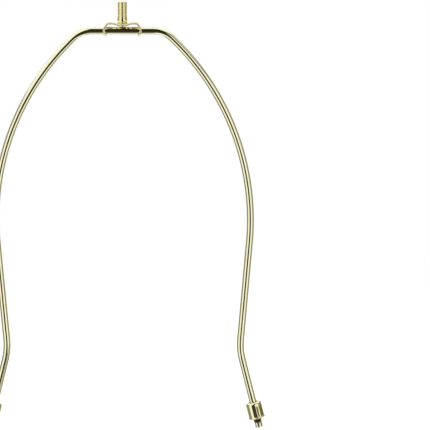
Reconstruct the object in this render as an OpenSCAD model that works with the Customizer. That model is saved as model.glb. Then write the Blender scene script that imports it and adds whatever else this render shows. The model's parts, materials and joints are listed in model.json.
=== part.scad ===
// Lamp harp: a bent wire bow, a stamped clip that swivels on its top bar, a stud for the shade,
// and a sleeve that slides on each leg. The leg tips are at z = 0 and the bow lies in the XZ plane.

/* [Wire bow] */
// Diameter of the wire
wire_d = 4.76; // [4:0.01:5.4]
// Straight length of the top bar
bar_len = 40; // [36:0.5:60]
// Radius of the shoulder bend, to the middle of the wire
shoulder_r = 18; // [12:0.5:26]
// Angle that the shoulder bend turns through
shoulder_turn = 44.5; // [38:0.5:52]
// Straight length below the shoulder bend
shoulder_flat = 1.5; // [1:0.1:10]
// Radius of the long side curve
belly_r = 168; // [140:1:200]
// Angle that the waist leans inward, from upright
waist_lean = 5; // [2:0.5:8]
// Straight length of the waist
waist_len = 65.5; // [40:0.5:90]
// Radius of the knee bend
knee_r = 42; // [30:1:60]
// Angle that each leg splays outward, from upright
leg_splay = 14; // [8:0.5:18]
// Straight length of the leg, from the knee to its tip
leg_len = 47.2; // [44:0.1:70]
// Chamfer at the tip
tip_chamfer = 0.3; // [0.1:0.05:0.6]

/* [Leg crimp] */
// Length of the flattened place on the leg
crimp_len = 5.4; // [4:0.1:6]
// How far the crimp bulges past the wire on each side
crimp_bulge = 0.57; // [0.45:0.01:0.8]
// Thickness of the wire across the crimp
crimp_t = 3.1; // [2.6:0.1:3.6]
// Plain wire between the tip and the crimp
crimp_above_tip = 3.4; // [2.5:0.1:4]

/* [Swivel clip] */
// Thickness of the clip's sheet
clip_t = 1.3; // [1:0.05:1.6]
// Width of the clip's strip
clip_w = 7.2; // [6.6:0.1:8]
// Diameter of the round pad under the stud
pad_d = 10; // [8.5:0.1:12]
// Straight half of the pad, to its first bend
pad_flat = 4.3; // [3.8:0.05:5]
// Angle of the step up from the pad to the wing
step_angle = 22; // [12:1:30]
// Radius of the step's two bends
step_r = 1.8; // [1.4:0.1:2.2]
// Straight length of the wing
wing_len = 2.6; // [1.8:0.1:3.4]
// Radius of the fold at the wing's end
fold_r = 1.4; // [1.1:0.1:1.6]
// Angle of the fold
fold_angle = 49; // [44:1:54]
// Straight length below the fold
flange_flat = 1.6; // [1.4:0.1:2.4]
// Radius of the flange's curve, which runs round the wire's level
flange_r = 4.6; // [4.2:0.1:5.4]
// Angle that the flange curves through
flange_turn = 90; // [80:1:96]
// Metal left under the wire in each flange
eye_wall = 1.1; // [0.9:0.05:1.5]
// Radial clearance of the clip's eyes on the wire
eye_play = 0.1; // [0.05:0.01:0.15]

/* [Stud] */
// Diameter over the thread
stud_d = 6.2; // [5.8:0.05:6.3]
// Length of the thread
stud_len = 10.4; // [8:0.1:16]
// Chamfer at the top of the thread
stud_chamfer = 0.4; // [0.2:0.05:0.7]
// Diameter of the collar under the thread
collar_d = 6.7; // [6.6:0.05:7.6]
// Height of the collar
collar_h = 3.55; // [2:0.05:5]
// Chamfer at the top of the collar
collar_chamfer = 0.12; // [0.05:0.01:0.15]
// Diameter of the shank riveted through the clip
shank_d = 4.4; // [3.5:0.1:5]
// Radial clearance of the shank in the clip
shank_play = 0.05; // [0.03:0.01:0.1]
// Diameter of the rivet head under the clip
head_d = 7.5; // [6.4:0.1:8]
// Height of the rivet head
head_h = 1.1; // [0.8:0.05:1.4]
// Gap between the rivet head and the wire
head_gap = 0.3; // [0.2:0.05:0.6]

/* [Sleeves] */
// Outer diameter of the sleeve
sleeve_d = 10.4; // [9.6:0.1:12]
// Thickness of the sleeve's wall
sleeve_t = 0.7; // [0.5:0.05:0.9]
// Length of the sleeve
sleeve_len = 11; // [9:0.1:14]
// Radius of the turned-in shoulder at the top
sleeve_shoulder_r = 1.3; // [1:0.05:1.6]
// Radius of the rolled rim at the bottom
rim_r = 0.5; // [0.46:0.02:0.6]
// How far the rolled rim stands out past the wall
rim_out = 0.3; // [0.1:0.05:0.4]
// Radial clearance between the wire and the hole at the sleeve's top
sleeve_play = 0.27; // [0.2:0.01:0.35]
// Height of the sleeve's lower rim above the leg's tip, at rest
sleeve_above_tip = 6.4; // [4:0.1:10]

/* [Hidden] */
$fn = 96;
brass = [0.93, 0.85, 0.55];
bright_brass = [0.96, 0.92, 0.7];
deep_brass = [0.85, 0.72, 0.38];

wire_r = wire_d / 2;
belly_turn = 90 - shoulder_turn + waist_lean;
knee_turn = waist_lean + leg_splay;

// A station is a point on a bent line and the angle below the level that the line heads at: [x, z, angle]
function moved(s, len) = [s[0] + len * cos(s[2]), s[1] - len * sin(s[2]), s[2]];
function turned(s, r, turn) = let (side = sign(turn), to = s[2] + turn)
    [s[0] + side * r * (sin(to) - sin(s[2])), s[1] + side * r * (cos(to) - cos(s[2])), to];

// Stations of one half of the bow, measured from the middle of the top bar
bar_end = [bar_len / 2, 0, 0];
shoulder_end = turned(bar_end, shoulder_r, shoulder_turn);
belly_start = moved(shoulder_end, shoulder_flat);
belly_end = turned(belly_start, belly_r, belly_turn);
waist_end = moved(belly_end, waist_len);
knee_end = turned(waist_end, knee_r, -knee_turn);
tip = moved(knee_end, leg_len);

// Height of the top bar's axis, with the low edge of each tip at z = 0
bar_z = (wire_r - tip_chamfer) * sin(leg_splay) - tip[1];

// Each straight stops short of its bends, and a band a hair wider than the wire closes the joint
band_gap = 0.01;
band_len = 0.4;
band_over = 0.01;

// Places what is drawn along +Z at a station, heading down the line
module at_station(s) {
    translate([s[0], 0, s[1]]) rotate([0, 90 + s[2], 0]) children();
}

module straight_wire(s, len) {
    at_station(s) translate([0, 0, band_gap]) cylinder(r = wire_r, h = len - 2 * band_gap);
}

module bent_wire(s, r, turn) {
    side = sign(turn);
    translate([s[0] - side * r * sin(s[2]), 0, s[1] - side * r * cos(s[2])])
        rotate([90, 0, 0])
            rotate([0, 0, side * 90 - s[2]])
                rotate_extrude(angle = -turn) translate([r, 0]) circle(r = wire_r);
}

module band(s) {
    at_station(s) cylinder(r = wire_r + band_over, h = band_len, center = true);
}

// The crimp is a swelling of the wire, flattened front and back
crimp_r = wire_r + crimp_bulge;
crimp_arc_r = (pow(crimp_len / 2, 2) + pow(crimp_bulge, 2)) / (2 * crimp_bulge);
crimp_top = crimp_above_tip + crimp_len;

module crimp() {
    intersection() {
        rotate_extrude() intersection() {
            translate([crimp_r - crimp_arc_r, 0]) circle(r = crimp_arc_r, $fn = 256);
            translate([0, -crimp_len / 2]) square([2 * crimp_r, crimp_len]);
        }
        cube([4 * crimp_r, crimp_t, 2 * crimp_len], center = true);
    }
}

// The straight leg, drawn upward from its tip
module leg_end() {
    cylinder(r1 = wire_r - tip_chamfer, r2 = wire_r, h = tip_chamfer);
    translate([0, 0, tip_chamfer]) cylinder(r = wire_r, h = crimp_above_tip - tip_chamfer);
    translate([0, 0, crimp_above_tip + crimp_len / 2]) crimp();
    translate([0, 0, crimp_top]) cylinder(r = wire_r, h = leg_len - crimp_top - band_gap);
}

module half_bow() {
    bent_wire(bar_end, shoulder_r, shoulder_turn);
    straight_wire(shoulder_end, shoulder_flat);
    bent_wire(belly_start, belly_r, belly_turn);
    straight_wire(belly_end, waist_len);
    bent_wire(waist_end, knee_r, -knee_turn);
    at_station(tip) mirror([0, 0, 1]) leg_end();
    for (s = [bar_end, shoulder_end, belly_start, belly_end, waist_end, knee_end]) band(s);
}

module harp_wire() color(brass) translate([0, 0, bar_z]) {
    straight_wire([-bar_len / 2, 0, 0], bar_len);
    half_bow();
    mirror([1, 0, 0]) half_bow();
}

// The clip is one strip, bent from the middle of its pad outward, with the same eyes in both flanges
pad_z = wire_r + head_gap + head_h;
bend_steps = 6;
flange_steps = 12;
step_flat = 0.6;
pad_end = [pad_flat, pad_z + clip_t / 2, 0];
step_up_end = turned(pad_end, step_r, -step_angle);
step_level_start = moved(step_up_end, step_flat);
wing_start = turned(step_level_start, step_r, step_angle);
wing_end = moved(wing_start, wing_len);
fold_end = turned(wing_end, fold_r, fold_angle);
flange_start = moved(fold_end, flange_flat);

function bend(s, r, turn, n) = [for (k = [0:n]) turned(s, r, turn * k / n)];
clip_line = concat(
    bend(pad_end, step_r, -step_angle, bend_steps),
    bend(step_level_start, step_r, step_angle, bend_steps),
    bend(wing_end, fold_r, fold_angle, bend_steps),
    bend(flange_start, flange_r, flange_turn, flange_steps));
function beside(s, off) = [s[0] + off * sin(s[2]), s[1] + off * cos(s[2])];
clip_last = len(clip_line) - 1;

module clip_side() {
    outer = [for (s = clip_line) beside(s, clip_t / 2)];
    inner = [for (i = [clip_last:-1:0]) beside(clip_line[i], -clip_t / 2)];
    half = concat(outer, inner);
    mirrored = [for (i = [len(half) - 1:-1:0]) [-half[i][0], half[i][1]]];
    polygon(concat(half, mirrored));
}

eye_r = wire_r + eye_play;
eye_round_r = eye_r + eye_wall;
clip_reach = clip_line[clip_last][0] + flange_r + clip_t;

module clip_blank() {
    rotate([90, 0, 0]) linear_extrude(height = 2 * pad_d, center = true) clip_side();
}

// The blank's outline from above: a round pad with a strip to each side
module clip_plan() {
    linear_extrude(height = 4 * pad_d, center = true) {
        circle(d = pad_d);
        square([2 * clip_reach, clip_w], center = true);
    }
}

// The flanges' outline from the end: straight sides and a round foot under the wire
module clip_end_view() {
    foot_r = max(clip_w / 2, eye_round_r);
    intersection() {
        union() {
            translate([-clip_reach, -pad_d, 0]) cube([2 * clip_reach, 2 * pad_d, 2 * pad_d]);
            rotate([0, 90, 0]) cylinder(r = foot_r, h = 2 * clip_reach, center = true);
        }
        translate([-clip_reach, -pad_d, -eye_round_r]) cube([2 * clip_reach, 2 * pad_d, 3 * pad_d]);
    }
}

module swivel_clip() color(deep_brass) translate([0, 0, bar_z]) difference() {
    intersection() {
        clip_blank();
        clip_plan();
        clip_end_view();
    }
    rotate([0, 90, 0]) cylinder(r = eye_r, h = 2 * clip_reach, center = true);
    cylinder(d = shank_d + 2 * shank_play, h = 2 * pad_d);
}

// The stud is turned in one piece and riveted over under the clip
module threaded_stud() {
    collar_z = pad_z + clip_t;
    thread_z = collar_z + collar_h;
    top_z = thread_z + stud_len;
    head_z = pad_z - head_h;
    head_edge = head_h / 3;
    color(bright_brass) translate([0, 0, bar_z]) rotate_extrude() polygon([
        [0, head_z],
        [head_d / 2 - head_edge, head_z],
        [head_d / 2, head_z + head_edge],
        [head_d / 2, pad_z],
        [shank_d / 2, pad_z],
        [shank_d / 2, collar_z],
        [collar_d / 2, collar_z],
        [collar_d / 2, thread_z - collar_chamfer],
        [collar_d / 2 - collar_chamfer, thread_z],
        [stud_d / 2, thread_z],
        [stud_d / 2, top_z - stud_chamfer],
        [stud_d / 2 - stud_chamfer, top_z],
        [0, top_z]]);
}

// A drawn sleeve, open below with a rolled rim, and turned in above to a hole round the wire
module sleeve_wall() {
    outer_r = sleeve_d / 2;
    rim_x = outer_r + rim_out - rim_r;
    shoulder_x = outer_r - sleeve_shoulder_r;
    shoulder_z = sleeve_len - sleeve_shoulder_r;
    lip_x = wire_r + sleeve_play + sleeve_t / 2;
    translate([rim_x, rim_r]) circle(r = rim_r);
    translate([outer_r - sleeve_t, rim_r]) square([sleeve_t, shoulder_z - rim_r]);
    translate([shoulder_x, shoulder_z]) intersection() {
        difference() {
            circle(r = sleeve_shoulder_r);
            circle(r = sleeve_shoulder_r - sleeve_t);
        }
        square(2 * sleeve_shoulder_r);
    }
    translate([lip_x, sleeve_len - sleeve_t]) square([shoulder_x - lip_x, sleeve_t]);
    translate([lip_x, sleeve_len - sleeve_t / 2]) circle(d = sleeve_t);
}

module sleeve() {
    color(bright_brass) translate([0, 0, bar_z]) at_station(moved(tip, -sleeve_above_tip))
        mirror([0, 0, 1]) rotate_extrude() sleeve_wall();
}

module right_sleeve() sleeve();

module left_sleeve() mirror([1, 0, 0]) sleeve();

harp_wire();
swivel_clip();
threaded_stud();
left_sleeve();
right_sleeve();
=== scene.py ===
import json
import math

import bmesh
import bpy
import numpy as np
from mathutils import Matrix, Vector


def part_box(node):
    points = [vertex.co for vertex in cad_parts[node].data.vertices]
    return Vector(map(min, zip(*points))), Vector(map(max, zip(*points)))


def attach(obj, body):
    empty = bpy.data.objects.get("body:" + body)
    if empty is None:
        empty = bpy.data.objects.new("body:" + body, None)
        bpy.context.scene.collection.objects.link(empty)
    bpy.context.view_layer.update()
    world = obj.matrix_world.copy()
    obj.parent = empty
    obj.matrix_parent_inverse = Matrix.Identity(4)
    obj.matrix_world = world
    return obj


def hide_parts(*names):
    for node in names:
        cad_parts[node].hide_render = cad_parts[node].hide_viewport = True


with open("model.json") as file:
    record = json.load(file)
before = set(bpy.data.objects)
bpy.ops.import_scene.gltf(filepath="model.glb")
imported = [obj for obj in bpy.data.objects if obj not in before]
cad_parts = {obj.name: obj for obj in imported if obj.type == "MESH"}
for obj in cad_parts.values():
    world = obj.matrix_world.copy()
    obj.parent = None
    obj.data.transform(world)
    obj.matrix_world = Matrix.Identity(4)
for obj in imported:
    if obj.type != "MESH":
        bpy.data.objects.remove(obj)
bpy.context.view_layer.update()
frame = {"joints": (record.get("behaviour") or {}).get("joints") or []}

mm = 0.001
joints = {joint["name"]: joint for joint in frame["joints"]}
barHeight = joints["clip_swivel"]["pos_m"][2] / mm  # the top bar's axis above the floor


class Flow:
    # a node's output, so that shader maths reads as an expression
    def __init__(self, graph, socket):
        self.graph, self.socket = graph, socket

    def maths(self, operation, first, second):
        return self.graph.node("ShaderNodeMath", {"operation": operation}, {0: first, 1: second})

    def __add__(self, other):
        return self.maths("ADD", self, other)

    def __sub__(self, other):
        return self.maths("SUBTRACT", self, other)

    def __rsub__(self, other):
        return self.maths("SUBTRACT", other, self)

    def __mul__(self, other):
        return self.maths("MULTIPLY", self, other)

    def __truediv__(self, other):
        return self.maths("DIVIDE", self, other)

    def atLeast(self, other):
        return self.maths("MAXIMUM", self, other)

    def atMost(self, other):
        return self.maths("MINIMUM", self, other)

    __radd__ = __add__
    __rmul__ = __mul__


class Graph:
    def __init__(self, owner):
        owner.use_nodes = True
        self.tree = owner.node_tree
        self.tree.nodes.clear()

    def node(self, kind, settings=None, sockets=None, out=0):
        made = self.tree.nodes.new(kind)
        for name, value in (settings or {}).items():
            setattr(made, name, value)
        for name, value in (sockets or {}).items():
            if isinstance(value, Flow):
                self.tree.links.new(value.socket, made.inputs[name])
            else:
                made.inputs[name].default_value = value
        return Flow(self, made.outputs[out]) if len(made.outputs) else made

    def mixed(self, factor, first, second):
        # sockets 6 and 7 of a Mix node are its two colours, and output 2 is its colour
        return self.node("ShaderNodeMix", {"data_type": "RGBA"}, {0: factor, 6: first, 7: second}, out=2)

    def noise(self, vector, scale, detail, roughness=0.5):
        return self.node("ShaderNodeTexNoise", {}, {
            "Vector": vector, "Scale": scale, "Detail": detail, "Roughness": roughness})


def opaque(colour):
    return (*colour, 1)


# Brass finishes. A grain pattern's lengths are in mm: across the work, and along its drawing or turning
# The last colour of each finish is painted shade, laid on where a piece marks it, and the surface is rougher
# there
wireFinish = {
    "pale": (0.965, 0.945, 0.71), "deep": (0.94, 0.90, 0.60), "roughness": 0.04, "roughSpread": 0.03,
    "lineAcross": 0.35, "lineAlong": 9, "lineHeight": 0.0003, "waveAcross": 3, "waveAlong": 26,
    "waveHeight": 0.003, "paintedShade": (0.15, 0.085, 0.03), "paintedShadeRoughness": 0.4}
sheetFinish = {
    "pale": (0.965, 0.93, 0.70), "deep": (0.94, 0.83, 0.46), "roughness": 0.08, "roughSpread": 0.05,
    "lineAcross": 0.25, "lineAlong": 4, "lineHeight": 0.0008, "waveAcross": 2.5, "waveAlong": 3.5,
    "waveHeight": 0.012, "paintedShade": (0.60, 0.36, 0.09), "paintedShadeRoughness": 0.2, "edgeRoughness": 0.55}
studFinish = {
    "pale": (0.96, 0.89, 0.54), "deep": (0.93, 0.78, 0.36), "roughness": 0.06, "roughSpread": 0.04,
    "lineAcross": 4, "lineAlong": 0.08, "lineHeight": 0.0005, "waveAcross": 3, "waveAlong": 3,
    "waveHeight": 0.002, "paintedShade": (0.33, 0.22, 0.09), "paintedShadeRoughness": 0.2}
sleeveFinish = {
    "pale": (0.955, 0.93, 0.66), "deep": (0.92, 0.86, 0.50), "roughness": 0.06, "roughSpread": 0.05,
    "lineAcross": 0.5, "lineAlong": 7, "lineHeight": 0.0008, "waveAcross": 1.9, "waveAlong": 9,
    "waveHeight": 0.05, "paintedShade": (0.30, 0.20, 0.08), "paintedShadeRoughness": 0.2}
# How much of each pattern goes into the tone and the roughness, for all finishes
patterns = {
    "lineDetail": 4, "lineRoughness": 0.65, "waveDetail": 1, "cloudScale": 90, "cloudDetail": 3,
    "speckScale": 1400, "speckDetail": 2, "cloudTone": 1.6, "lineTone": 0.5, "toneFrom": 0.55,
    "cloudDull": 0.6, "lineDull": 0.7, "speckDull": 0.4, "dullFrom": 0.85, "dullGain": 2,
    "shearGain": 2, "shearFrom": 0.6, "leastRoughness": 0.03}


def brass(name, look):
    material = bpy.data.materials.new(name)
    graph = Graph(material)
    grain = graph.node("ShaderNodeAttribute", {"attribute_name": "grain"}, out="Vector")
    paintedShade = graph.node("ShaderNodeAttribute", {"attribute_name": "paintedShade"}, out="Fac")
    place = graph.node("ShaderNodeTexCoord", out="Object")

    def stretched(across, along):
        lengths = (across, across, along)
        return graph.node("ShaderNodeVectorMath", {"operation": "DIVIDE"}, {0: grain, 1: lengths})

    lines = graph.noise(stretched(look["lineAcross"], look["lineAlong"]), 1,
                        detail=patterns["lineDetail"], roughness=patterns["lineRoughness"])
    waves = graph.noise(stretched(look["waveAcross"], look["waveAlong"]), 1, detail=patterns["waveDetail"])
    clouds = graph.noise(place, patterns["cloudScale"], detail=patterns["cloudDetail"])
    specks = graph.noise(place, patterns["speckScale"], detail=patterns["speckDetail"])
    tone = clouds * patterns["cloudTone"] + lines * patterns["lineTone"] - patterns["toneFrom"]
    colour = graph.mixed(tone.atLeast(0).atMost(1), opaque(look["pale"]), opaque(look["deep"]))
    # painted shade: the colour turns towards the finish's shade colour where the piece marks it
    colour = graph.mixed(paintedShade, colour, opaque(look["paintedShade"]))
    dull = clouds * patterns["cloudDull"] + lines * patterns["lineDull"] + specks * patterns["speckDull"]
    dull = (dull - patterns["dullFrom"]) * look["roughSpread"] * patterns["dullGain"]
    roughness = dull + look["roughness"] + paintedShade * look["paintedShadeRoughness"]
    if "edgeRoughness" in look:
        # the sheet's sheared edges face along Y, and are duller than its faces
        facing = graph.node("ShaderNodeTexCoord", out="Normal")
        alongY = graph.node("ShaderNodeSeparateXYZ", {}, {0: facing}, out="Y")
        sheared = (alongY * alongY * patterns["shearGain"] - patterns["shearFrom"]).atLeast(0).atMost(1)
        roughness = roughness + sheared * look["edgeRoughness"]
    roughness = roughness.atLeast(patterns["leastRoughness"])
    height = lines * look["lineHeight"] + waves * look["waveHeight"]
    normal = graph.node("ShaderNodeBump", {}, {"Height": height, "Strength": 1, "Distance": mm})
    surface = graph.node("ShaderNodeBsdfPrincipled", {}, {
        "Base Color": colour, "Metallic": 1, "Roughness": roughness, "Normal": normal})
    graph.node("ShaderNodeOutputMaterial", {}, {"Surface": surface})
    return material


platedWire = brass("platedWire", wireFinish)
platedSheet = brass("platedSheet", sheetFinish)
turnedBrass = brass("turnedBrass", studFinish)
platedSleeve = brass("platedSleeve", sleeveFinish)
print("materials made")


def makePiece(name, points, faces, grain, paintedShade, material, sharpAngle):
    # points are in mm; grain holds a vector for each point, and the list after it a number for each: how much
    # painted shade lies there
    mesh = bpy.data.meshes.new(name)
    mesh.from_pydata([tuple(point) for point in np.asarray(points, float) * mm], [], faces)
    mesh.attributes.new("grain", "FLOAT_VECTOR", "POINT").data.foreach_set(
        "vector", np.asarray(grain, np.float32).ravel())
    mesh.attributes.new("paintedShade", "FLOAT", "POINT").data.foreach_set("value", np.asarray(paintedShade, np.float32))
    shell = bmesh.new()
    shell.from_mesh(mesh)
    bmesh.ops.recalc_face_normals(shell, faces=shell.faces)
    shell.to_mesh(mesh)
    shell.free()
    mesh.shade_smooth()
    mesh.set_sharp_from_angle(angle=math.radians(sharpAngle))
    mesh.materials.append(material)
    piece = bpy.data.objects.new(name, mesh)
    bpy.context.scene.collection.objects.link(piece)
    return piece


def standsFor(piece, node, body):
    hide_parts(node)
    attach(piece, body)
    low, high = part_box(node)
    points = np.array([vertex.co for vertex in piece.data.vertices])
    off = max(np.abs(points.min(0) - low).max(), np.abs(points.max(0) - high).max())
    print(f"{piece.name} made, {len(piece.data.polygons)} faces, its box {off / mm:.3f} mm from {node}")


def arc(centre, radius, start, end, steps):
    angles = np.radians(np.linspace(start, end, steps + 1))
    return [(centre[0] + radius * math.cos(a), centre[1] + radius * math.sin(a)) for a in angles]


def lathed(profile, segments, closed):
    # points, faces and grain of a profile (radius, height) turned about +Z; a closed profile is a ring
    points, grain = [], []
    for radius, height in profile:
        for k in range(segments):
            angle = 2 * math.pi * k / segments
            points.append((radius * math.cos(angle), radius * math.sin(angle), height))
            grain.append((radius * math.cos(angle), radius * math.sin(angle), height))
    faces = []
    count = len(profile)
    for i in range(count if closed else count - 1):
        for k in range(segments):
            after, near, far = (k + 1) % segments, i * segments, (i + 1) % count * segments
            faces.append((near + k, near + after, far + after, far + k))
    if not closed:
        faces.append(tuple(range(segments)))
        faces.append(tuple(range((count - 1) * segments, count * segments)))
    return points, faces, grain


# A station is a point (x, z) in mm and the angle below the level, in radians, that the line heads at
def moved(station, length):
    x, z, angle = station
    return x + length * math.cos(angle), z - length * math.sin(angle), angle


def turned(station, radius, turn):
    x, z, angle = station
    side, after = math.copysign(radius, turn), angle + turn
    return (x + side * (math.sin(after) - math.sin(angle)),
            z + side * (math.cos(after) - math.cos(angle)), after)


bendStep = 3  # the most degrees from one station of a bend to the next


def bentLine(start, runs, step):
    # a run is (length,) for a straight or (radius, degrees) for a bend; gives stations and lengths along them
    stations, lengths = [start], [0.0]
    for run in runs:
        here, done = stations[-1], lengths[-1]
        size = run[0] if len(run) == 1 else run[0] * math.radians(abs(run[1]))
        pieces = max(1, math.ceil(size / step), math.ceil(abs(run[-1]) / bendStep) if len(run) == 2 else 1)
        for k in range(1, pieces + 1):
            share = k / pieces
            stations.append(moved(here, size * share) if len(run) == 1
                            else turned(here, run[0], math.radians(run[1]) * share))
            lengths.append(done + size * share)
    return np.array(stations), np.array(lengths)


wireBow = {
    "radius": 2.38, "barLength": 40, "shoulderRadius": 18, "shoulderTurn": 44.5, "shoulderFlat": 1.5,
    "bellyRadius": 168, "waistLean": 5, "waistLength": 65.5, "kneeRadius": 42, "legSplay": 14,
    "legLength": 47.2, "tipChamfer": 0.3, "chamferSteps": 3, "step": 1.2, "around": 80, "sharpAngle": 40}
# The crimp is pinched flat front and back. Its sides run through these heights above the tip and half widths
crimp = {
    "aboveTip": 3.4, "length": 5.4, "thickness": 3.1,
    "sides": ((3.4, 2.38), (3.65, 2.45), (6.8, 2.93), (8.3, 2.58), (8.8, 2.38)),
    "squareness": 0.45, "ramp": 0.25, "darkness": 0.95, "step": 0.15}


def bowHalf():
    bow = wireBow
    plain = bow["legLength"] - crimp["aboveTip"] - crimp["length"]
    start = (0.0, barHeight, 0.0)
    upper, upperLengths = bentLine(start, [
        (bow["barLength"] / 2,), (bow["shoulderRadius"], bow["shoulderTurn"]), (bow["shoulderFlat"],),
        (bow["bellyRadius"], 90 - bow["shoulderTurn"] + bow["waistLean"]), (bow["waistLength"],),
        (bow["kneeRadius"], -bow["waistLean"] - bow["legSplay"]), (plain,)], bow["step"])
    lower, lowerLengths = bentLine(tuple(upper[-1]), [
        (crimp["length"],), (crimp["aboveTip"] - bow["tipChamfer"],)], crimp["step"])
    tip, tipLengths = bentLine(
        tuple(lower[-1]), [(bow["tipChamfer"],)], bow["tipChamfer"] / bow["chamferSteps"])
    lengths = np.concatenate([upperLengths, upperLengths[-1] + lowerLengths[1:]])
    lengths = np.concatenate([lengths, lengths[-1] + tipLengths[1:]])
    return np.concatenate([upper, lower[1:], tip[1:]]), lengths


def crimpShare(aboveTip):
    into = min(aboveTip - crimp["aboveTip"], crimp["aboveTip"] + crimp["length"] - aboveTip)
    share = min(1.0, max(0.0, into / crimp["ramp"]))
    return share * share * (3 - 2 * share)


def wireSection(aboveTip):
    # its points (outward, towards +Y): round, squared off at the crimp, narrower at the tip's chamfer
    bow = wireBow
    angles = 2 * np.pi * np.arange(bow["around"]) / bow["around"]
    into = max(0.0, 1 - aboveTip / bow["tipChamfer"])
    radius = bow["radius"] - bow["tipChamfer"] * (1 - math.sqrt(1 - into ** 2))
    share = crimpShare(aboveTip)
    wide = radius + share * (np.interp(aboveTip, *zip(*crimp["sides"])) - radius)
    thick = radius + share * (crimp["thickness"] / 2 - radius)
    power = 1 - crimp["squareness"] * share
    outward = wide * np.sign(np.cos(angles)) * np.abs(np.cos(angles)) ** power
    across = thick * np.sign(np.sin(angles)) * np.abs(np.sin(angles)) ** power
    return angles, outward, across


def makeBow():
    half, lengths = bowHalf()
    total = lengths[-1]
    mirrored = half[:0:-1] * (-1, 1, -1)
    line = np.concatenate([mirrored, half])
    along = np.concatenate([-lengths[:0:-1], lengths])
    count = wireBow["around"]
    points, grain, paintedShade = [], [], []
    for (x, z, angle), s in zip(line, along):
        aboveTip = total - abs(s)
        angles, outward, across = wireSection(aboveTip)
        for a, out, y in zip(angles, outward, across):
            points.append((x + out * math.sin(angle), y, z + out * math.cos(angle)))
            grain.append((wireBow["radius"] * math.cos(a), wireBow["radius"] * math.sin(a), s))
            # painted dark reflection: the crimp is painted dark brown, standing in for the dark room mirrored
            # in its flats
            paintedShade.append(crimp["darkness"] * crimpShare(aboveTip))
    faces = [tuple(range(count)), tuple(range(len(points) - count, len(points)))]
    for i in range(len(line) - 1):
        for k in range(count):
            after = (k + 1) % count
            faces.append((i * count + k, i * count + after, (i + 1) * count + after, (i + 1) * count + k))
    return makePiece("bentWire", points, faces, grain, paintedShade, platedWire, wireBow["sharpAngle"])


standsFor(makeBow(), "harp_wire", "bow")


stud = {
    "crestRadius": 3.1, "pitch": 25.4 / 27, "threadDepth": 0.2, "chamfer": 0.4, "collarRadius": 3.35,
    "collarHeight": 3.55, "collarBead": 0.4, "collarNeck": 2.95, "collarSwell": 0.36, "shankRadius": 2.2,
    "headRadius": 3.75, "headHeight": 1.1, "headEdge": 0.5, "headDome": 0.3,
    "domeShares": (0.15, 0.4, 0.6, 0.75), "edgeFrom": -70, "edgeSteps": 6, "beadTo": 65, "beadSteps": 8,
    "neckGap": 0.15, "swellPower": 0.7, "swellSteps": 12, "threadSeat": 0.7, "threadSunk": 0.2, "runOut": 0.9,
    "crestGain": 2, "crestFrom": 0.8, "turnsBelow": 1.5, "spareTurns": 3, "joinWithin": 1e-4,
    "topWithin": 1e-3, "threadDarkness": 0.3, "shankDarkness": 0.35, "shadeBelow": 0.01, "shadeAbove": 0.25,
    "around": 96, "rowsPerTurn": 12, "sharpAngle": 38}
studFoot, studTop = (corner.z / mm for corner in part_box("threaded_stud"))
padLevel = studFoot + stud["headHeight"] - barHeight  # the pad's underside above the bar's axis


clip = {
    "thickness": 1.3, "width": 7.2, "padRadius": 5, "padFlat": 4.3, "stepAngle": 22, "stepRadius": 1.8,
    "stepFlat": 0.6, "wingLength": 2.6, "foldRadius": 1.4, "foldAngle": 49, "flangeFlat": 1.6,
    "flangeRadius": 4.6, "flangeTurn": 90, "eyeRadius": 2.48, "footRadius": 3.6, "footBelow": 3.58,
    "shankHole": 2.25, "padFillet": 0.25, "joinShare": 0.35, "joinBlend": 0.5, "underGrain": 5.0,
    "shadeBefore": 0.6, "shadeSpread": 1.1, "underDarkness": 0.55, "upperDarkness": 0.06, "lineStep": 0.05,
    "across": 8, "side": 6, "foot": 32, "padSide": 26, "rings": 2, "step": 0.3, "edge": 0.42, "edgeSteps": 4,
    "edgeAngle": 50}


def clipStrip():
    # the strip's middle line from the pad's centre to the flange's end, from the bar's axis
    start = (0.0, padLevel + clip["thickness"] / 2, 0.0)
    stations, lengths = bentLine(start, [
        (clip["padFlat"],), (clip["stepRadius"], -clip["stepAngle"]), (clip["stepFlat"],),
        (clip["stepRadius"], clip["stepAngle"]), (clip["wingLength"],),
        (clip["foldRadius"], clip["foldAngle"]), (clip["flangeFlat"],),
        (clip["flangeRadius"], clip["flangeTurn"])], clip["lineStep"])
    flangeFrom = (clip["padFlat"] + clip["stepFlat"] + clip["wingLength"]
                  + 2 * clip["stepRadius"] * math.radians(clip["stepAngle"])
                  + clip["foldRadius"] * math.radians(clip["foldAngle"]))
    return stations, lengths, flangeFrom


def ringOfFaces(inner, outer, rings, store, faces):
    # adds the quads between two loops of as many points
    count, before = len(inner), None
    for ring in range(rings + 1):
        share = ring / rings
        numbers = [store((1 - share) * np.array(inner[k]) + share * np.array(outer[k])) for k in range(count)]
        if before:
            for k in range(count):
                after = (k + 1) % count
                faces.append((before[k], before[after], numbers[after], numbers[k]))
        before = numbers


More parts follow.
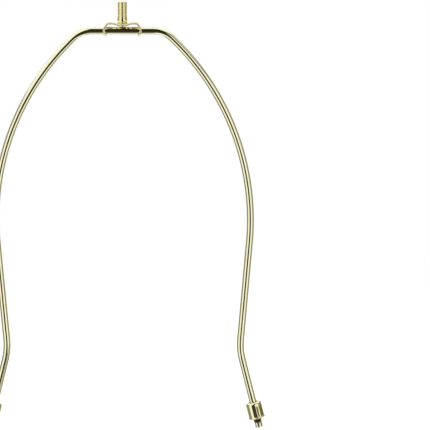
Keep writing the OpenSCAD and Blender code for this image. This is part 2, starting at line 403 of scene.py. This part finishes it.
def makeClip():
    stations, lengths, flangeFrom = clipStrip()
    heights = stations[:, 1]
    below = lengths >= flangeFrom
    # the rows end here, and the ring round the eye begins
    joinAt = flangeFrom + clip["flangeFlat"] * clip["joinShare"]
    joinHeight = np.interp(joinAt, lengths, heights)
    half = clip["width"] / 2
    flat, faces, known = [], [], {}

    def store(point):
        key = (round(float(point[0]), 4), round(float(point[1]), 4))
        if key not in known:
            known[key] = len(flat)
            flat.append((float(point[0]), float(point[1])))
        return known[key]

    def lengthAt(height):
        return np.interp(-height, -heights[below], lengths[below])

    columns = np.linspace(-half, half, clip["across"] + 1)

    # the pad, from the shank's hole to its round sides and the strips' first rows
    padEdge = [(clip["padFlat"], y) for y in columns]
    for x in np.linspace(clip["padFlat"], -clip["padFlat"], clip["padSide"] + 1)[1:-1]:
        # the round side runs into the strip's straight edge through a soft corner
        beyond = (math.sqrt(clip["padRadius"] ** 2 - x * x) - half) / clip["padFillet"]
        padEdge.append((x, half + clip["padFillet"] * math.log1p(math.exp(beyond))))
    padEdge += [(-x, -y) for x, y in padEdge]
    padHole = [(clip["shankHole"] * x / math.hypot(x, y), clip["shankHole"] * y / math.hypot(x, y))
               for x, y in padEdge]
    ringOfFaces(padHole, padEdge, clip["rings"], store, faces)

    for side in (1, -1):
        rows = np.linspace(clip["padFlat"], joinAt, math.ceil((joinAt - clip["padFlat"]) / clip["step"]) + 1)
        for near, far in zip(rows[:-1], rows[1:]):
            for left, right in zip(columns[:-1], columns[1:]):
                corners = [(side * near, left), (side * near, right), (side * far, right), (side * far, left)]
                faces.append(tuple(store(corner) for corner in corners))
        # round the eye: points (y, height), then as lengths along the strip
        outline = [(y, joinHeight) for y in columns]
        outline += [(half, z) for z in np.linspace(joinHeight, 0, clip["side"] + 1)[1:-1]]
        outline += [(clip["footRadius"] * math.cos(a), -clip["footBelow"] * math.sin(a))
                    for a in np.linspace(0, math.pi, clip["foot"] + 1)]
        outline += [(-half, z) for z in np.linspace(0, joinHeight, clip["side"] + 1)[1:-1]]
        eye = [(clip["eyeRadius"] * y / math.hypot(y, z), clip["eyeRadius"] * z / math.hypot(y, z))
               for y, z in outline]
        ringOfFaces([(side * lengthAt(z), y) for y, z in eye], [(side * lengthAt(z), y) for y, z in outline],
                    clip["rings"], store, faces)

    # each flat point becomes one on the strip's upper face and one on its lower face
    thick = clip["thickness"] / 2
    points, grain, paintedShade = [], [], []
    for offset in (thick, -thick):
        faceX = stations[:, 0] + offset * np.sin(stations[:, 2])
        faceZ = stations[:, 1] + offset * np.cos(stations[:, 2])
        for length, y in flat:
            s = abs(length)
            x, z = np.interp(s, lengths, faceX), np.interp(s, lengths, faceZ)
            if s > joinAt:  # the eye and the foot are cut along the bar, so both faces are at one height
                share = min(1.0, (s - joinAt) / clip["joinBlend"])
                z = (1 - share) * z + share * np.interp(s, lengths, heights)
                x = np.interp(-z, -faceZ[below], faceX[below])
            points.append((math.copysign(x, length), y, z + barHeight))
            grain.append((y, 0.0 if offset > 0 else clip["underGrain"], length))
            # painted shade: a band darkened before the fold into the flange, strongly on the strip's
            # underside and faintly on its upper face
            foldShade = math.exp(-((s - flangeFrom + clip["shadeBefore"]) / clip["shadeSpread"]) ** 2)
            paintedShade.append(foldShade * (clip["underDarkness"] if offset < 0 else clip["upperDarkness"]))
    count = len(flat)
    solid = list(faces) + [tuple(n + count for n in reversed(face)) for face in faces]
    edges = {}
    for face in faces:
        for a, b in zip(face, face[1:] + face[:1]):
            edges.setdefault(frozenset((a, b)), []).append((a, b))
    for uses in edges.values():
        if len(uses) == 1:
            a, b = uses[0]
            solid.append((b, a, a + count, b + count))
    piece = makePiece("bentClip", points, solid, grain, paintedShade, platedSheet, clip["edgeAngle"])
    bevel = piece.modifiers.new("roundEdges", "BEVEL")
    bevel.width, bevel.segments = clip["edge"] * mm, clip["edgeSteps"]
    bevel.limit_method, bevel.angle_limit = "ANGLE", math.radians(clip["edgeAngle"])
    bevel.harden_normals = True
    return piece


standsFor(makeClip(), "swivel_clip", "swivel")


def threadRadius(share, height, low, high):
    # share is how far between two crests; the thread runs out above the collar and at the chamfered top
    rise = 1 - abs(2 * share - 1)
    # broad crests, as a rolled thread has
    cut = min(1.0, max(0.0, rise * stud["crestGain"] - stud["crestFrom"]))
    deep = min(1.0, max(0.0, (height - low) / stud["runOut"]))
    radius = stud["crestRadius"] - stud["threadDepth"] * cut * deep
    return min(radius, stud["crestRadius"] - max(0.0, height - high + stud["chamfer"]))


def makeStud():
    low, high = studFoot, studTop
    padFoot = low + stud["headHeight"]
    collarFoot = padFoot + clip["thickness"]
    threadFoot = collarFoot + stud["collarHeight"]
    edge, dome, bead = stud["headEdge"], stud["headDome"], stud["collarBead"]
    head, collar, neck = stud["headRadius"], stud["collarRadius"], stud["collarNeck"]
    profile = [(head * share, low + dome * share ** 3) for share in stud["domeShares"]]
    profile += arc((head - edge, low + dome + edge), edge, stud["edgeFrom"], 0, stud["edgeSteps"])
    profile += [(head, padFoot), (stud["shankRadius"], padFoot), (stud["shankRadius"], collarFoot)]
    # the collar's foot, and its swelling above the neck
    profile += arc((collar - bead, collarFoot + bead), bead, -90, stud["beadTo"], stud["beadSteps"])
    swellFoot = profile[-1][1] + stud["neckGap"]
    for share in np.linspace(0, 1, stud["swellSteps"]):
        profile.append((neck + stud["collarSwell"] * math.sin(math.pi * share) ** stud["swellPower"],
                        swellFoot + share * (threadFoot - swellFoot)))
    profile += [(stud["crestRadius"] - stud["threadSeat"], threadFoot)]
    points, faces, grain = lathed(profile, stud["around"], closed=False)
    # painted shade where the stud meets the clip: on the shank and the collar's foot
    shaded = (padFoot - stud["shadeBelow"], collarFoot + stud["shadeAbove"])
    paintedShade = [stud["shankDarkness"] if shaded[0] <= point[2] <= shaded[1] else 0.0 for point in points]

    shell = bmesh.new()
    rows, columns = stud["rowsPerTurn"], stud["around"]
    turns = math.ceil((high - threadFoot) / stud["pitch"]) + stud["spareTurns"]
    grid = []
    for i in range(columns):
        angle = 2 * math.pi * i / columns
        column = []
        for k in range(turns * rows):
            height = threadFoot + stud["pitch"] * (k / rows - stud["turnsBelow"] + i / columns)
            radius = threadRadius(k % rows / rows, height, threadFoot, high)
            column.append(shell.verts.new((radius * math.cos(angle), radius * math.sin(angle), height)))
        grid.append(column)
    for i in range(columns):
        lift = rows if i == columns - 1 else 0  # one turn round, the rows have climbed by one pitch
        for k in range((turns - 1) * rows - 1):
            after = grid[(i + 1) % columns]
            shell.faces.new((grid[i][k], after[k + lift], after[k + 1 + lift], grid[i][k + 1]))
    within = stud["joinWithin"]
    for height, keepAbove in ((threadFoot - stud["threadSunk"], True), (high, False)):
        everything = list(shell.verts) + list(shell.edges) + list(shell.faces)
        bmesh.ops.bisect_plane(shell, geom=everything, plane_co=(0, 0, height), plane_no=(0, 0, 1),
                               clear_inner=keepAbove, clear_outer=not keepAbove)
        loose = [vertex for vertex in shell.verts if not vertex.link_faces]
        bmesh.ops.delete(shell, geom=loose, context="VERTS")
        rim = [edge for edge in shell.edges
               if edge.is_boundary and all(abs(end.co.z - height) < within for end in edge.verts)]
        bmesh.ops.edgenet_fill(shell, edges=rim)
    bmesh.ops.remove_doubles(shell, verts=shell.verts, dist=within)
    shell.verts.index_update()
    first = len(points)
    for vertex in shell.verts:
        radius = math.hypot(vertex.co.x, vertex.co.y)
        points.append(tuple(vertex.co))
        grain.append(tuple(vertex.co))
        # painted shade in the thread's roots, darker where the thread is cut deeper and none on the flat top
        onTop = abs(vertex.co.z - high) < stud["topWithin"]
        depth = 0.0 if onTop else (stud["crestRadius"] - radius) / stud["threadDepth"]
        paintedShade.append(min(1.0, max(0.0, depth)) * stud["threadDarkness"])
    faces += [tuple(first + vertex.index for vertex in face.verts) for face in shell.faces]
    shell.free()
    return makePiece("threadedStud", points, faces, grain, paintedShade, turnedBrass, stud["sharpAngle"])


standsFor(makeStud(), "threaded_stud", "swivel")


sleeve = {
    "radius": 5.2, "thickness": 0.7, "length": 11, "shoulderRadius": 1.3, "rimRadius": 0.5, "rimOut": 0.3,
    "rimGap": 12, "rimSteps": 20, "creaseOut": 0.02, "creaseUp": 0.12, "wallFrom": 2.6, "innerTo": 1.4,
    "wallSteps": 6, "shoulderSteps": 12, "lipSteps": 10, "innerSteps": 6, "lipRadius": 2.65,
    "lipShade": 0.45, "lipDarkness": 0.85, "insideDarkness": 0.5, "insideSlack": 0.05, "aboveTip": 6.4,
    "around": 96, "sharpAngle": 45}


def sleeveProfile():
    wall, thick, length = sleeve["radius"], sleeve["thickness"], sleeve["length"]
    bend, rim = sleeve["shoulderRadius"], sleeve["rimRadius"]
    rimAt = wall + sleeve["rimOut"] - rim
    meets = math.degrees(math.acos((wall - rimAt) / rim))
    shoulder = (wall - bend, length - bend)
    lip = (sleeve["lipRadius"] + thick / 2, length - thick / 2)
    outerWall = np.linspace(rim * sleeve["wallFrom"], shoulder[1], sleeve["wallSteps"])
    innerWall = np.linspace(shoulder[1], rim * sleeve["innerTo"], sleeve["wallSteps"])
    profile = arc((rimAt, rim), rim, -180, meets - sleeve["rimGap"], sleeve["rimSteps"])
    profile += [(wall + sleeve["creaseOut"], rim + rim * math.sin(math.radians(meets)) + sleeve["creaseUp"])]
    profile += [(wall, height) for height in outerWall]
    profile += arc(shoulder, bend, 0, 90, sleeve["shoulderSteps"])[1:]
    profile += arc(lip, thick / 2, 90, 270, sleeve["lipSteps"])
    profile += arc(shoulder, bend - thick, 90, 0, sleeve["innerSteps"])
    profile += [(wall - thick, height) for height in innerWall[1:]]
    return profile


def makeSleeve(name, side):
    points, faces, grain = lathed(sleeveProfile(), sleeve["around"], closed=True)
    half, _ = bowHalf()
    x, z, angle = moved(tuple(half[-1]), -sleeve["aboveTip"])
    upward = Vector((-math.cos(angle) * side, 0, math.sin(angle)))
    outward = Vector((math.sin(angle) * side, 0, math.cos(angle)))
    turn = Matrix((outward, upward.cross(outward), upward)).transposed()
    placed = [turn @ Vector(point) + Vector((x * side, 0, z)) for point in points]
    innerRadius = sleeve["radius"] - sleeve["thickness"] + sleeve["insideSlack"]
    innerTop = sleeve["length"] - sleeve["thickness"] + sleeve["insideSlack"]
    # painted shade: the sleeve's inside is darkened, and a dark ring is painted round the hole in its
    # turned-in top
    paintedShade = []
    for px, py, pz in points:
        fromAxis = math.hypot(px, py)
        lipRingShade = math.exp(-((fromAxis - sleeve["lipRadius"]) / sleeve["lipShade"]) ** 2)
        isInside = fromAxis < innerRadius and pz < innerTop
        paintedShade.append(sleeve["insideDarkness"] if isInside else sleeve["lipDarkness"] * lipRingShade)
    return makePiece(name, placed, faces, grain, paintedShade, platedSleeve, sleeve["sharpAngle"])


standsFor(makeSleeve("rightSleeve", 1), "right_sleeve", "right_slider")
standsFor(makeSleeve("leftSleeve", -1), "left_sleeve", "left_slider")


# The camera looks down at the bow from far off. Its aim is the point of the bow's plane in the photo's middle
shot = {
    "frame": 430, "pixelsPerMm": 1.516, "aim": (0.0606, 0.1436), "distance": 2.4, "height": 0.56,
    "sensor": 36, "nearest": 0.05, "farthest": 30}


def setCamera():
    aim = Vector((shot["aim"][0], 0, shot["aim"][1]))
    place = Vector((shot["aim"][0], -shot["distance"], shot["height"]))
    lens = bpy.data.cameras.new("photoCamera")
    lens.sensor_width = shot["sensor"]
    lens.lens = shot["sensor"] * (aim - place).length / (shot["frame"] * mm / shot["pixelsPerMm"])
    lens.clip_start, lens.clip_end = shot["nearest"], shot["farthest"]
    camera = bpy.data.objects.new("photoCamera", lens)
    camera.location = place
    camera.rotation_euler = (math.atan2(shot["distance"], shot["height"] - shot["aim"][1]), 0, 0)
    bpy.context.scene.collection.objects.link(camera)
    bpy.context.scene.camera = camera


# The harp stands in a white room, and its polish mirrors these screens. Each has four corners and a light. A
# corner is a direction in degrees seen from a point: round from straight ahead towards +X, and up. Where two
# of a group overlap, the one that is named first is in front.
roomScreens = {
    "from": (0, 0, 0.14), "away": 2.2, "soft": 0.06, "across": 24,
    "all": {
        "highDark": (((-20, 0), (18, 0), (26, 62), (-10, 62)), (0.016, 0.012, 0.005)),
        "middleDark": (((-24, -22), (26, -22), (20, 6), (-24, 6)), (0.045, 0.038, 0.026)),
        "lowDark": (((-14, -56), (44, -56), (28, -16), (-24, -16)), (0.03, 0.024, 0.016)),
        "footDark": (((-20, -88), (60, -88), (46, -52), (-14, -52)), (0.22, 0.20, 0.14)),
        "highOlive": (((-12, 34), (88, 22), (88, 50), (-15, 60)), (0.22, 0.21, 0.14)),
        "leftOlive": (((-150, -66), (-68, -66), (-68, 24), (-150, 24)), (0.27, 0.265, 0.19)),
        "rightOlive": (((66, -60), (155, -60), (155, 46), (66, 34)), (0.30, 0.29, 0.21)),
        "backDark": (((166, -62), (194, -62), (194, -9), (166, -9)), (0.09, 0.08, 0.06))}}
# Small screens near the right leg's foot, mainly for the lower leg and its sleeve
footScreens = {
    "from": (0.092, 0, 0.02), "away": 0.15, "soft": 0.08, "across": 8,
    "all": {
        "besideDark": (((-38, -34), (8, -34), (8, -5), (-36, -5)), (0.045, 0.036, 0.02)),
        "besideLight": (((10, -8), (52, -8), (52, 12), (10, 10)), (1.0, 0.99, 0.95))}}
# And smaller and nearer ones, mainly for the sleeve
sleeveScreens = {
    "from": (0.0905, 0, 0.0095), "away": 0.045, "soft": 0.1, "across": 8,
    "all": {
        "nearDark": (((-36, -30), (17, -14), (17, 4), (-36, -8)), (0.045, 0.05, 0.04)),
        "nearBrown": (((20, -16), (48, -12), (50, 8), (22, 4)), (0.17, 0.14, 0.07)),
        "nearOlive": (((70, -12), (128, -12), (128, 12), (74, 10)), (0.13, 0.13, 0.09))}}
softboxes = {
    "leftSoftbox": {"at": (-1.3, -1.5, 1.2), "size": (1.2, 1.2), "power": 14},
    "rightSoftbox": {"at": (1.5, -1.3, 1.2), "size": (1.2, 1.2), "power": 14}}
studio = {"aim": (0.0, 0.0, 0.14), "roomLight": 0.75, "floorSize": 4, "floorColour": (0.82, 0.82, 0.81),
          "floorGlow": 0.42, "nearFloor": 0.28, "farFloor": 0.6, "screenGap": 0.01}


def seenDirectly(graph):
    # 1 for what the lens sees straight, mirrored or through glass
    camera, glossy, transmission = (graph.node("ShaderNodeLightPath", out=f"Is {kind} Ray")
                                    for kind in ("Camera", "Glossy", "Transmission"))
    return camera.atLeast(glossy).atLeast(transmission)


def roomStrength(graph):
    # white where it is seen directly, and dimmer as a light on the rest
    return seenDirectly(graph) * (1 - studio["roomLight"]) + studio["roomLight"]


def makeScreen(name, corners, light, group, away):
    # a patch of a sphere round the point that it is seen from, with soft edges
    count = group["across"]
    points, faces, places = [], [], []
    for row in range(count + 1):
        for column in range(count + 1):
            u, v = column / count, row / count
            weights = ((1 - u) * (1 - v), u * (1 - v), u * v, (1 - u) * v)
            turn, up = np.radians(np.array(weights) @ np.array(corners))
            points.append(Vector(group["from"]) + away * Vector((
                math.cos(up) * math.sin(turn), -math.cos(up) * math.cos(turn), math.sin(up))))
            places.append((u, v, 0))
            if row and column:
                here = row * (count + 1) + column
                faces.append((here - count - 2, here - count - 1, here, here - 1))
    mesh = bpy.data.meshes.new(name)
    mesh.from_pydata([tuple(point) for point in points], [], faces)
    mesh.attributes.new("place", "FLOAT_VECTOR", "POINT").data.foreach_set(
        "vector", np.array(places, np.float32).ravel())
    material = bpy.data.materials.new(name)
    graph = Graph(material)
    place = graph.node("ShaderNodeAttribute", {"attribute_name": "place"}, out="Vector")
    inside = 1
    for side in ("X", "Y"):
        along = graph.node("ShaderNodeSeparateXYZ", {}, {0: place}, out=side)
        inside = (along * (1 - along) / group["soft"]).atMost(1) * inside
    glow = graph.node("ShaderNodeEmission", {}, {"Color": opaque(light)})
    clear = graph.node("ShaderNodeBsdfTransparent")
    surface = graph.node("ShaderNodeMixShader", {}, {0: inside, 1: clear, 2: glow})
    graph.node("ShaderNodeOutputMaterial", {}, {"Surface": surface})
    mesh.materials.append(material)
    screen = bpy.data.objects.new(name, mesh)
    screen.visible_camera = screen.visible_diffuse = screen.visible_shadow = False
    bpy.context.scene.collection.objects.link(screen)


def makeSoftbox(name, box):
    lamp = bpy.data.lights.new(name, "AREA")
    lamp.shape, lamp.energy = "RECTANGLE", box["power"]
    lamp.size, lamp.size_y = box["size"]
    holder = bpy.data.objects.new(name, lamp)
    holder.location = box["at"]
    holder.rotation_mode = "QUATERNION"
    holder.rotation_quaternion = (Vector(studio["aim"]) - Vector(box["at"])).to_track_quat("-Z", "Y")
    holder.visible_camera = holder.visible_glossy = False
    bpy.context.scene.collection.objects.link(holder)


def makeFloor():
    size = studio["floorSize"]
    corners = [(-size, -size, 0), (size, -size, 0), (size, size, 0), (-size, size, 0)]
    mesh = bpy.data.meshes.new("floor")
    mesh.from_pydata(corners, [], [(0, 1, 2, 3)])
    floor = bpy.data.objects.new("floor", mesh)
    material = bpy.data.materials.new("paleFloor")
    graph = Graph(material)
    place = graph.node("ShaderNodeTexCoord", out="Object")
    away = graph.node("ShaderNodeVectorMath", {"operation": "LENGTH"}, {0: place}, out="Value")
    far = ((away - studio["nearFloor"]) / (studio["farFloor"] - studio["nearFloor"])).atLeast(0).atMost(1)
    paint = graph.node("ShaderNodeBsdfDiffuse", {}, {"Color": opaque(studio["floorColour"])})
    glow = graph.node("ShaderNodeEmission", {}, {"Strength": seenDirectly(graph) * studio["floorGlow"]})
    near = graph.node("ShaderNodeAddShader", {}, {0: paint, 1: glow})
    white = graph.node("ShaderNodeEmission", {}, {"Strength": roomStrength(graph)})
    surface = graph.node("ShaderNodeMixShader", {}, {0: far, 1: near, 2: white})
    graph.node("ShaderNodeOutputMaterial", {}, {"Surface": surface})
    mesh.materials.append(material)
    floor.visible_glossy = False  # the polish mirrors the white room below instead, and the low screens
    bpy.context.scene.collection.objects.link(floor)


def makeWorld():
    world = bpy.data.worlds.new("whiteRoom")
    graph = Graph(world)
    surface = graph.node("ShaderNodeBackground", {}, {"Color": (1, 1, 1, 1), "Strength": roomStrength(graph)})
    graph.node("ShaderNodeOutputWorld", {}, {"Surface": surface})
    bpy.context.scene.world = world


setCamera()
for group in (roomScreens, footScreens, sleeveScreens):
    for number, (name, (corners, light)) in enumerate(group["all"].items()):
        makeScreen(name, corners, light, group, group["away"] * (1 + studio["screenGap"] * number))
for name, box in softboxes.items():
    makeSoftbox(name, box)
makeFloor()
makeWorld()
bpy.context.scene.view_settings.view_transform = "Standard"
print("camera and studio set")
